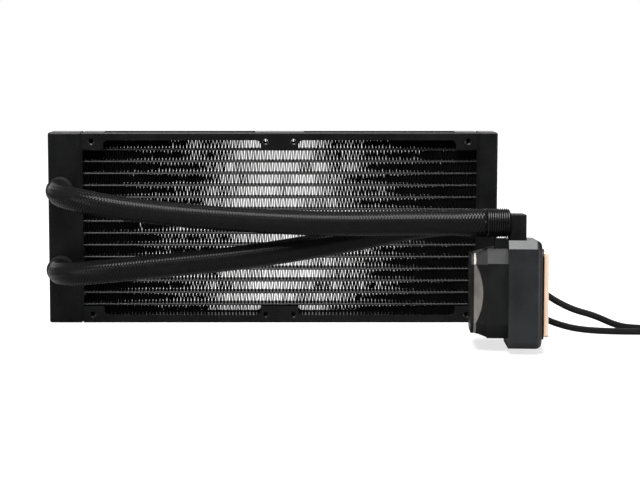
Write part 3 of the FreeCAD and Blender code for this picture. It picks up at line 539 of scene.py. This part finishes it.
def fin_rows():
    """Fifteen folded strips of thin sheet, with louvres and uneven folds.

    Along the strip the sheet climbs and falls between two tubes, one wall to half a period. Over its
    depth each wall leans a little, and its middle height steps from side to side as louvres. The sheet's
    two faces are the same surface moved by half its thickness.
    """
    rng = np.random.default_rng(7)
    walls = 2 * FIN_PERIODS
    half = 2 * FIN_HALF / walls
    for row in range(FIN_ROWS):
        low = STACK_BOTTOM + row * TUBE_PITCH + FIN_GAP
        lean = SLOW_LEAN * smooth_noise(rng, walls + 1, 9) + QUICK * rng.standard_normal(walls + 1)
        shift = SLOW_SHIFT * smooth_noise(rng, walls + 1, 6) + QUICK * rng.standard_normal(walls + 1)
        for spot in rng.integers(4, walls - 8, 2):
            span = np.arange(rng.integers(1, 4))
            lean[spot + span] += rng.choice([-1, 1]) * rng.uniform(0.15, 0.3)
            shift[spot + span] += rng.uniform(-0.1, 0.1)
        fold = np.arange(walls)
        level = np.concatenate([LEVELS[:-1] if k % 2 == 0 else 1 - LEVELS[:-1] for k in fold] + [[0.0]])
        place = np.concatenate([k + PLACES[:-1] for k in fold] + [[walls]])
        wall = np.minimum(place.astype(int), walls - 1)
        inner = np.minimum(level, 1 - level) * 2
        near = np.clip(inner / FOLD_SHARE, 0, 1)
        x0 = -FIN_HALF + place * half
        depth = DEPTHS[None, :]
        moved = (np.interp(place, np.arange(walls + 1), shift)[:, None]
                 + lean[wall][:, None] * (depth - 0.5) * 2 * near[:, None] * LEAN_SHARE
                 + LOUVRE * LOUVRES[None, :] * near[:, None])
        x = x0[:, None] + moved
        z = np.broadcast_to((low + level * (FIN_HEIGHT - 2 * FIN_GAP))[:, None], x.shape)
        y = np.broadcast_to(-FIN_DEPTH / 2 + depth * FIN_DEPTH, x.shape)
        rise = np.where(wall % 2 == 0, 1.0, -1.0)
        slope = np.array([half, FIN_HEIGHT]) / math.hypot(half, FIN_HEIGHT)
        offset_x = (FIN_SHEET / 2 * slope[1] * np.ones_like(rise))[:, None]
        offset_z = (-FIN_SHEET / 2 * slope[0] * rise)[:, None]
        side_a = np.stack([x + rise[:, None] * offset_x, y, z + rise[:, None] * offset_z], 2)
        side_b = np.stack([x - rise[:, None] * offset_x, y, z - rise[:, None] * offset_z], 2)
        grid = np.concatenate([side_a, side_b[:, ::-1]], 1) * MM
        name = "folded_fins_%02d" % (row + 1)
        mesh = sheet_mesh(name, grid, around=True, smooth=False)
        piece(name, mesh, "cooler", CORE, ("fin_row_%02d" % (row + 1),))


fin_rows()


# Floor, world and lights

def floor():
    """A plain white floor that keeps the soft shadow and reads white to the camera."""
    size = 6.0
    corners = np.array([[[-size, -size, 0], [size, -size, 0]], [[-size, size, 0], [size, size, 0]]])
    obj = link(bpy.data.objects.new("floor", sheet_mesh("floor", corners, smooth=False)))
    material, n, shader = new_material("floor_white", {"Roughness": 1.0, "Specular IOR Level": 0.0})
    seen = n.add("ShaderNodeLightPath").outputs["Is Camera Ray"]
    n.tree.links.new(n.mix(seen, colour(0.28), colour(0.40)), shader.inputs["Base Color"])
    shader.inputs["Emission Color"].default_value = colour(1.0)
    place = n.add("ShaderNodeTexCoord").outputs["Object"]
    away = n.add("ShaderNodeVectorMath", {0: place}, operation="LENGTH")
    white = n.ramp(away.outputs["Value"], 0.25, 1.2, 0.72, 1.0)
    n.tree.links.new(n.math("MULTIPLY", seen, white), shader.inputs["Emission Strength"])
    obj.data.materials.append(material)


def world():
    """White to the camera, and to all else a studio that is dark in front and bright behind and above."""
    scene_world = bpy.data.worlds.new("studio")
    bpy.context.scene.world = scene_world
    scene_world.use_nodes = True
    n = Nodes(scene_world.node_tree)
    background = scene_world.node_tree.nodes["Background"]
    direction = n.add("ShaderNodeSeparateXYZ", {0: n.add("ShaderNodeTexCoord").outputs["Generated"]})
    behind = n.ramp(direction.outputs[1], 0.8, 0.98, 0.03, 1.0)
    above = n.ramp(direction.outputs[2], 0.3, 0.95, 0.0, 0.05)
    beside = n.ramp(direction.outputs[0], -0.95, -0.4, 0.3, 0.0)
    studio = n.math("ADD", n.math("ADD", behind, above), beside)
    seen = n.add("ShaderNodeLightPath").outputs["Is Camera Ray"]
    strength = n.math("ADD", n.math("MULTIPLY", studio, n.math("SUBTRACT", 1.0, seen)), seen)
    background.inputs[0].default_value = colour(1.0)
    n.tree.links.new(strength, background.inputs[1])


def softbox(name, place, target, width, height, power):
    """A rectangular lamp that faces a point."""
    lamp = bpy.data.lights.new(name, "AREA")
    lamp.shape = "RECTANGLE"
    lamp.size, lamp.size_y = width, height
    lamp.energy = power
    obj = link(bpy.data.objects.new(name, lamp))
    obj.location = place
    obj.rotation_euler = (Vector(target) - Vector(place)).to_track_quat("-Z", "Y").to_euler()


floor()
world()
softbox("overhead", (0.05, -0.40, 1.12), (0.05, -0.10, 0.06), 0.95, 0.70, 28.0)
softbox("front_high", (-0.5, -1.5, 1.9), (0.05, -0.10, 0.06), 0.8, 0.6, 42.0)
softbox("left", (-1.3, -0.9, 0.45), (0.10, -0.10, 0.06), 0.4, 0.5, 4.0)
softbox("right", (1.15, -0.75, 0.35), (0.20, -0.12, 0.04), 0.35, 0.6, 5.0)
bpy.context.scene.view_settings.view_transform = "Standard"
